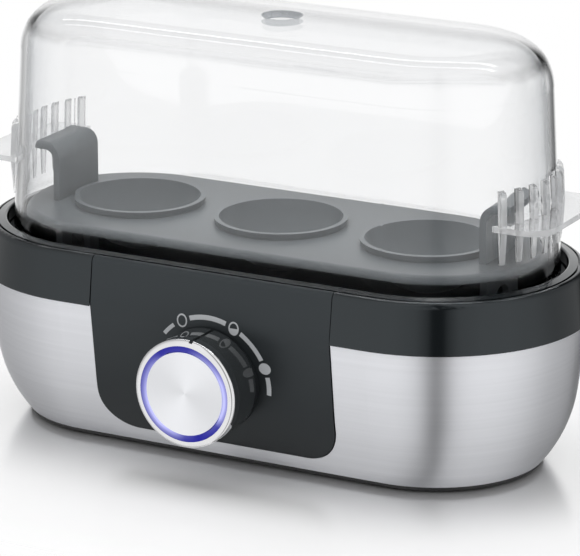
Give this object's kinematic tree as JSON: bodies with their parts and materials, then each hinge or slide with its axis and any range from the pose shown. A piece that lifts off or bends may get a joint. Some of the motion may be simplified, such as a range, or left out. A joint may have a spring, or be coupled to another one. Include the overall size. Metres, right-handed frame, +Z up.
{
  "type": "electric egg cooker",
  "caption": "Electric egg cooker: clear vented hood over a lift-out tray, coated water bowl, brushed steel base and a turning dial with a lit ring and a push button.",
  "frame": {"origin": "on the table under the middle of the whole object", "axes": "+X to the right along its length, +Y to the back, away from the dial, +Z up"},
  "size_m": [0.2, 0.1094, 0.1329],
  "materials": {
    "clear_plastic": "clear moulded plastic, polished",
    "tray_plastic": "mid-grey moulded plastic, satin",
    "coated_metal": "dark non-stick coating",
    "housing_plastic": "dark grey moulded plastic, fine satin",
    "brushed_steel": "brushed along its length",
    "base_plastic": "dark moulded plastic, fine texture",
    "foot_rubber": "soft matt rubber",
    "seal_rubber": "moulded rubber",
    "chrome_trim": "bright plated ring",
    "gloss_dark": "glossy dark plastic",
    "light_guide": "clear plastic lit blue",
    "spun_metal": "face turned in fine circles",
    "zinc_steel": "plain plated steel",
    "brass_parts": "plain turned brass",
    "pale_plastic": "pale heat-proof plastic",
    "component_plastic": "dark component case",
    "board_green": "lacquered circuit board",
    "element_tube": "dull heat-stained tube"
  },
  "bodies": {
    "base": {"heating_bowl": "coated_metal", "bowl_studs": "zinc_steel", "bowl_gasket": "seal_rubber", "upper_housing": "housing_plastic", "steel_skirt": "brushed_steel", "control_panel": "housing_plastic", "base_plate": "base_plastic", "rubber_feet": "foot_rubber", "base_screws": "zinc_steel", "cord_gland": "seal_rubber", "panel_bush": "brass_parts", "bush_nut": "zinc_steel", "potentiometer": "component_plastic", "tact_switch": "component_plastic", "control_board": "board_green", "board_screws": "zinc_steel", "ring_leds": "light_guide", "relay": "component_plastic", "terminal_block": "pale_plastic", "buzzer": "component_plastic", "heating_element": "element_tube", "element_terminals": "brass_parts", "temperature_sensor": "element_tube", "thermal_fuse": "pale_plastic", "holding_clips": "zinc_steel"},
    "tray": {"egg_tray": "tray_plastic"},
    "hood": {"hood": "clear_plastic"},
    "knob": {"knob_ring": "chrome_trim", "knob_body": "gloss_dark", "knob_shaft": "zinc_steel", "light_ring": "light_guide"},
    "button": {"start_button": "spun_metal", "button_plunger": "pale_plastic"},
    "stem": {"switch_stem": "pale_plastic"}
  },
  "joints": [
    {"name": "tray_lift", "type": "slide", "parent": "base", "child": "tray", "axis": [0, 0, 1], "range_m": [0, 0.06]},
    {"name": "hood_lift", "type": "slide", "parent": "tray", "child": "hood", "axis": [0, 0, 1], "range_m": [0, 0.09]},
    {"name": "knob_turn", "type": "hinge", "parent": "base", "child": "knob", "pos_m": [0, -0.05475, 0.03], "axis": [0, 1, 0], "range_deg": [-60, 89]},
    {"name": "start_press", "type": "slide", "parent": "knob", "child": "button", "axis": [0, 1, 0], "range_m": [0, 0.0012], "stiffness_N_per_m": 1500, "springref_m": -0.0004},
    {"name": "stem_press", "type": "slide", "parent": "base", "child": "stem", "axis": [0, 1, 0], "range_m": [0, 0.0012]}
  ],
  "couplings": [
    {"joint": "stem_press", "follows": "start_press", "ratio": 1}
  ]
}
